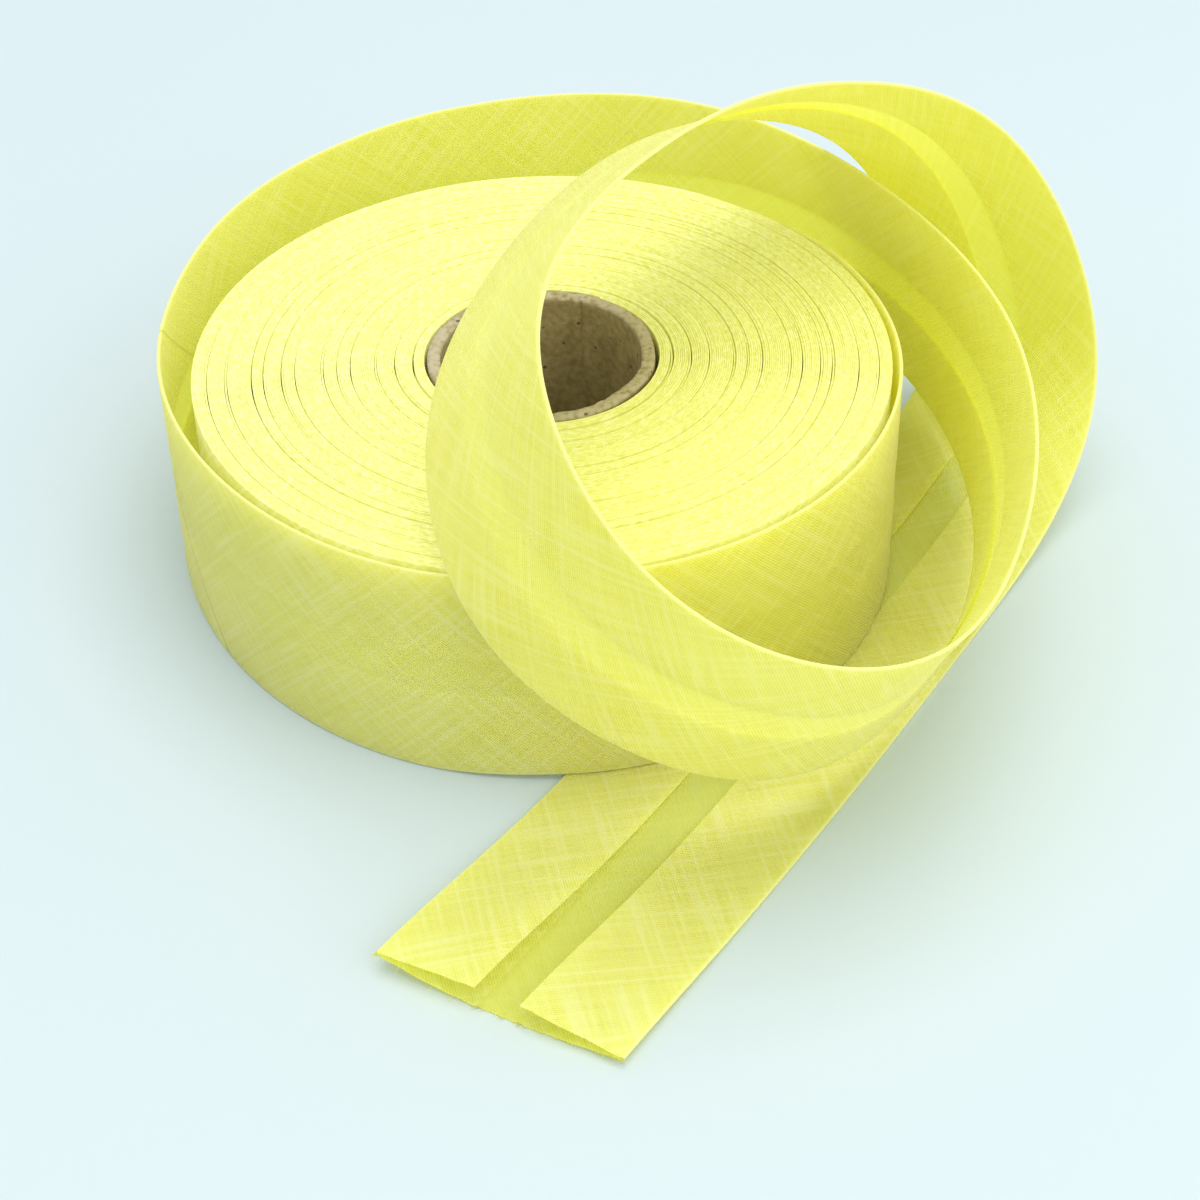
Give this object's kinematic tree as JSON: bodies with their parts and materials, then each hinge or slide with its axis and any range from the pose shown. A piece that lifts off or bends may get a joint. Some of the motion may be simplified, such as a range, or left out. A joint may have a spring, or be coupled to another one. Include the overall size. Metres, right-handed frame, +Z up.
{
  "type": "roll of bias binding",
  "caption": "Roll of folded bias binding tape on a cardboard core, its last turn loose in a raised loop and ending in a flat cut tail.",
  "frame": {"origin": "on the table, under the centre of the part's bounding box", "axes": "+Z up along the axis of the roll, -Y towards the cut end of the tail at the front, +X to the right of the viewer in front"},
  "size_m": [0.1604, 0.203, 0.0915],
  "materials": {
    "core_card": "matt grey-brown paperboard with darker specks",
    "binding_cloth": "plain-woven lemon yellow cotton, cut and folded on the bias"
  },
  "bodies": {
    "root": {"core": "core_card", "wound_tape": "binding_cloth", "loose_turn": "binding_cloth", "loop": "binding_cloth", "tail": "binding_cloth"}
  },
  "joints": []
}
